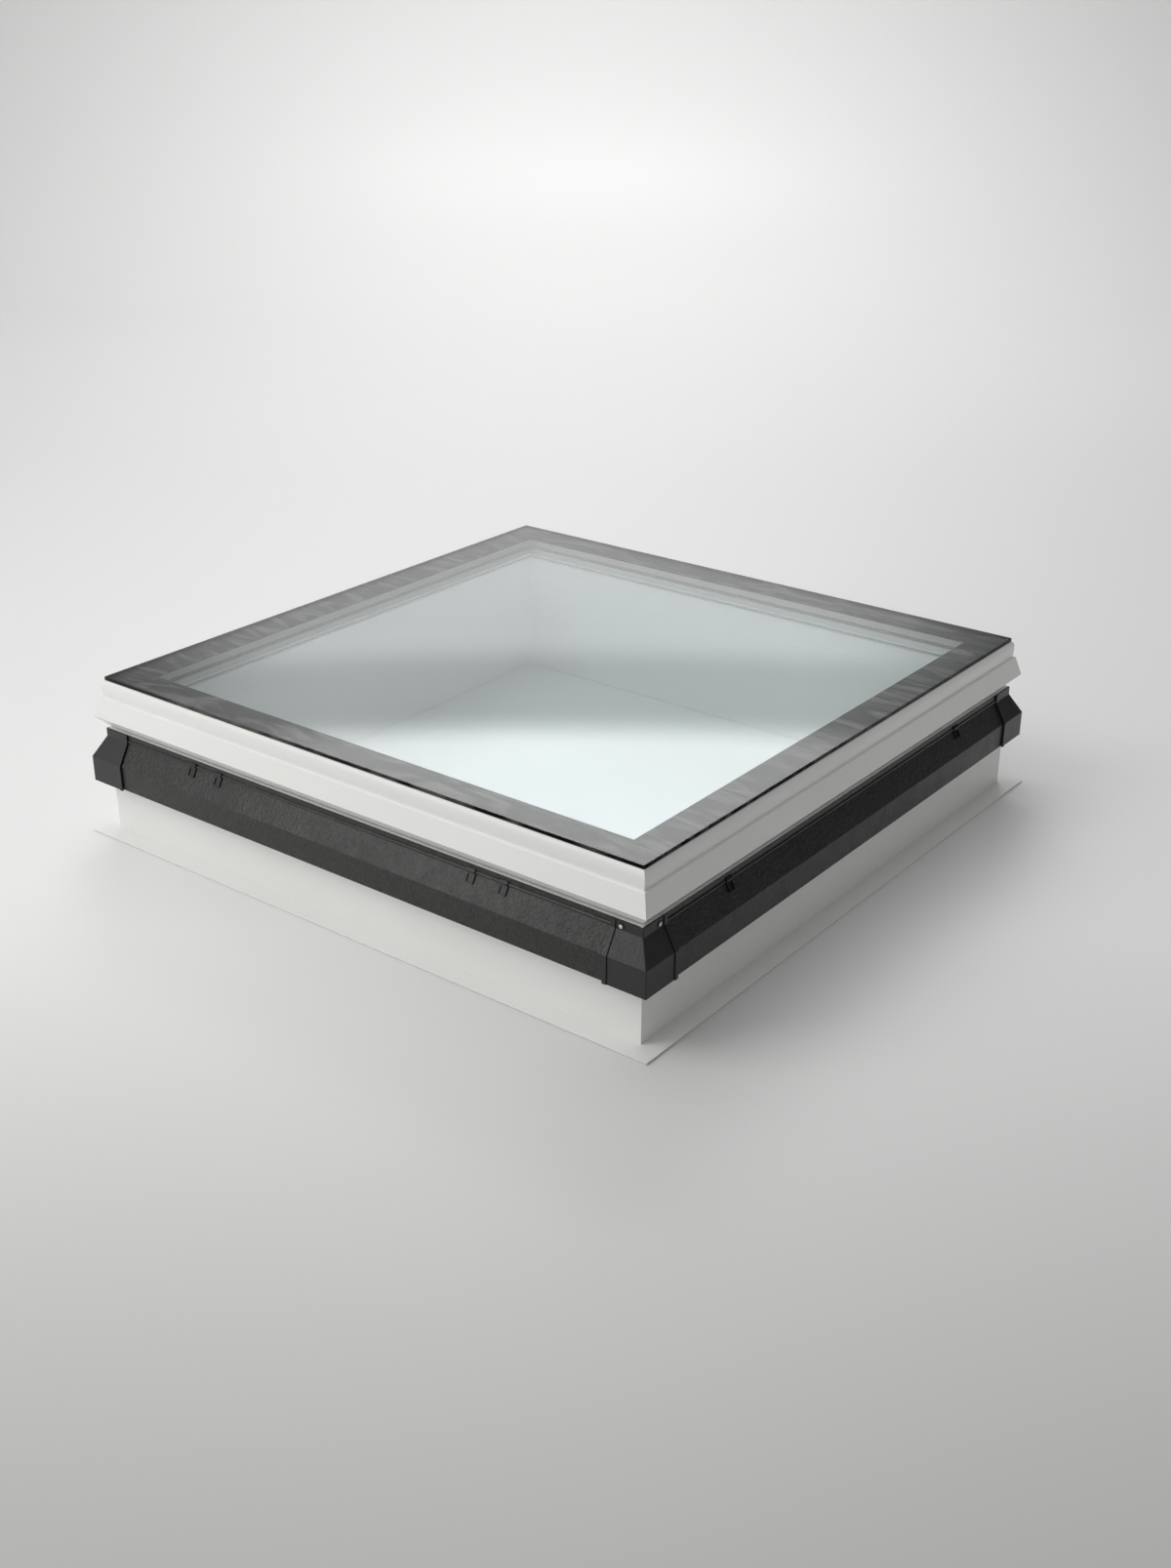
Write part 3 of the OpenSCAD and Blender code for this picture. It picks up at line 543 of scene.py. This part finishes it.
def welded_copy(node):
    """A bmesh of a CAD node with its triangles merged into flat faces."""
    bm = bmesh.new()
    bm.from_mesh(frame["nodes"][node].data)
    bmesh.ops.remove_doubles(bm, verts=bm.verts, dist=WELD_DISTANCE)
    bmesh.ops.dissolve_limit(bm, angle_limit=FLAT_ANGLE, verts=bm.verts, edges=bm.edges)
    return bm


def ease_foot(bm):
    """Cuts back the edges the kerb stands on, which leaves fine lines of shade along the floor."""

    def reach(e):
        return max(max(abs(v.co.x), abs(v.co.y)) for v in e.verts)

    foot = [e for e in sharp_edges(bm, CORNER_ANGLE) if all(v.co.z < 0.1 * MM for v in e.verts)]
    flange_foot = [e for e in foot if reach(e) > FLANGE_REACH]
    shaft_foot = [e for e in foot if reach(e) <= FLANGE_REACH]
    cut_back(bm, flange_foot, FOOT_EASE, 1)
    cut_back(bm, shaft_foot, SHAFT_EASE, 1)


def ease_arris(bm):
    """Rounds the outer arris of a corner cap, from its crease down to its foot."""
    def on_arris(v):
        return abs(abs(v.co.x) - abs(v.co.y)) < 0.05 * MM and abs(v.co.x) > ARRIS_REACH
    arris = [e for e in sharp_edges(bm, CORNER_ANGLE) if all(on_arris(v) for v in e.verts)]
    cut_back(bm, arris, ARRIS_EASE, 4)


def rounded(node, material, radius, segments=2, least=30):
    """The CAD node with its sharp edges rounded, as moulded and extruded pieces have them."""
    bm = welded_copy(node)
    if node == "kerb_frame":
        ease_foot(bm)
    if node.startswith("corner_cap"):
        ease_arris(bm)
    cut_back(bm, sharp_edges(bm, math.radians(least)), radius, segments)
    return add_piece(node + "_finished", bm, body_of(node), material, [node])


def ring_of_boxes(bm, inner, outer, low, high):
    """A flat square ring: an outer block's faces with a square hole through it."""
    made = bmesh.ops.create_cube(bm, size=2)["verts"]
    middle = (low + high) / 2
    bmesh.ops.scale(bm, vec=(outer, outer, (high - low) / 2), verts=made)
    bmesh.ops.translate(bm, vec=(0, 0, middle), verts=made)
    caps = [f for f in bm.faces if all(v in made for v in f.verts) and abs(f.normal.z) > 0.9]
    bmesh.ops.inset_region(bm, faces=caps, thickness=outer - inner, use_even_offset=True)
    holes = [e for f in caps for e in f.edges]
    bmesh.ops.delete(bm, geom=caps, context="FACES_ONLY")
    bmesh.ops.bridge_loops(bm, edges=holes)


def enamel_piece(material):
    """The enamel, bedded a hair into the pane so that it looks bonded to the glass."""
    low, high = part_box("enamel_border")
    pane_low, pane_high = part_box("outer_pane")
    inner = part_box("spacer_frame")[1].x - ENAMEL_OVERHANG - SPACER_WIDTH
    bm = bmesh.new()
    ring_of_boxes(bm, inner, high.x, low.z, pane_low.z + ENAMEL_BEDDING)
    ring_of_boxes(bm, pane_high.x - ENAMEL_BEDDING, high.x, pane_low.z + ENAMEL_BEDDING, high.z)
    bmesh.ops.recalc_face_normals(bm, faces=bm.faces)
    return add_piece("enamel_border_finished", bm, "sash", material, ["enamel_border"])


def dress(node, material):
    """Gives a CAD node that keeps its own mesh a better material."""
    mesh = frame["nodes"][node].data
    mesh.materials.clear()
    mesh.materials.append(material)


def build_skylight():
    white = white_plastic()
    trim = black_trim()
    cap = black_cap()
    clip = black_clip()
    seal = rubber("black_rubber", (0.018, 0.018, 0.018))
    sealant = rubber("edge_sealant", (0.028, 0.028, 0.028))
    glass = clear_glass()
    steel = bright_steel()
    plated = plated_steel()

    rounded("kerb_frame", white, 0.9 * MM, 3)
    rounded("sash_frame", white, 0.8 * MM, 3, 24)
    rounded("operator_cover", white, 0.5 * MM)
    for side in ("front", "right", "back", "left"):
        rounded("trim_strip_" + side, trim, 0.5 * MM, 3, 20)
    for corner in ("front_right", "back_right", "back_left", "front_left"):
        rounded("corner_cap_" + corner, cap, 0.6 * MM, 3, 20)
    rounded("trim_clips", clip, 0.4 * MM, 2, 20)
    rounded("cap_screws", steel, 0.25 * MM, 2)
    rounded("outer_pane", glass, 0.6 * MM, 2)
    rounded("inner_pane", glass, 0.6 * MM, 2)
    rounded("spacer_frame", spacer_metal(), 0.5 * MM, 2)
    enamel_piece(enamel())
    for node in ("hinge_kerb_leaves", "hinge_sash_leaves", "chain_bracket"):
        rounded(node, plated, 0.3 * MM)
    rounded("hinge_pins", plated, 0.3 * MM)
    for node in ("kerb_leaf_screws", "sash_leaf_screws", "cover_screws", "bracket_screws"):
        rounded(node, steel, 0.2 * MM)
    for node in ("inner_seat_gasket", "outer_seat_gasket"):
        rounded(node, seal, 1.2 * MM, 3)
    rounded("operator_case", anodised(), 0.4 * MM)
    rounded("drive_motor", motor_paint(), 0.8 * MM)
    rounded("drive_gearbox", cast_zinc(), 1.2 * MM)
    rounded("chain_guide", bronze(), 0.4 * MM)
    rounded("sash_reinforcement", galvanised(), 0.8 * MM)
    dress("drive_chain", oiled_steel())
    dress("control_board", board_lacquer())
    dress("kerb_insulation", foam())
    dress("inner_pane_gasket", seal)
    dress("edge_seal", sealant)
    dress("bed_seal", sealant)


place_camera()
pale_world()
backdrop(pale_floor())
soft_boxes()
bpy.context.scene.view_settings.view_transform = "Standard"

build_skylight()
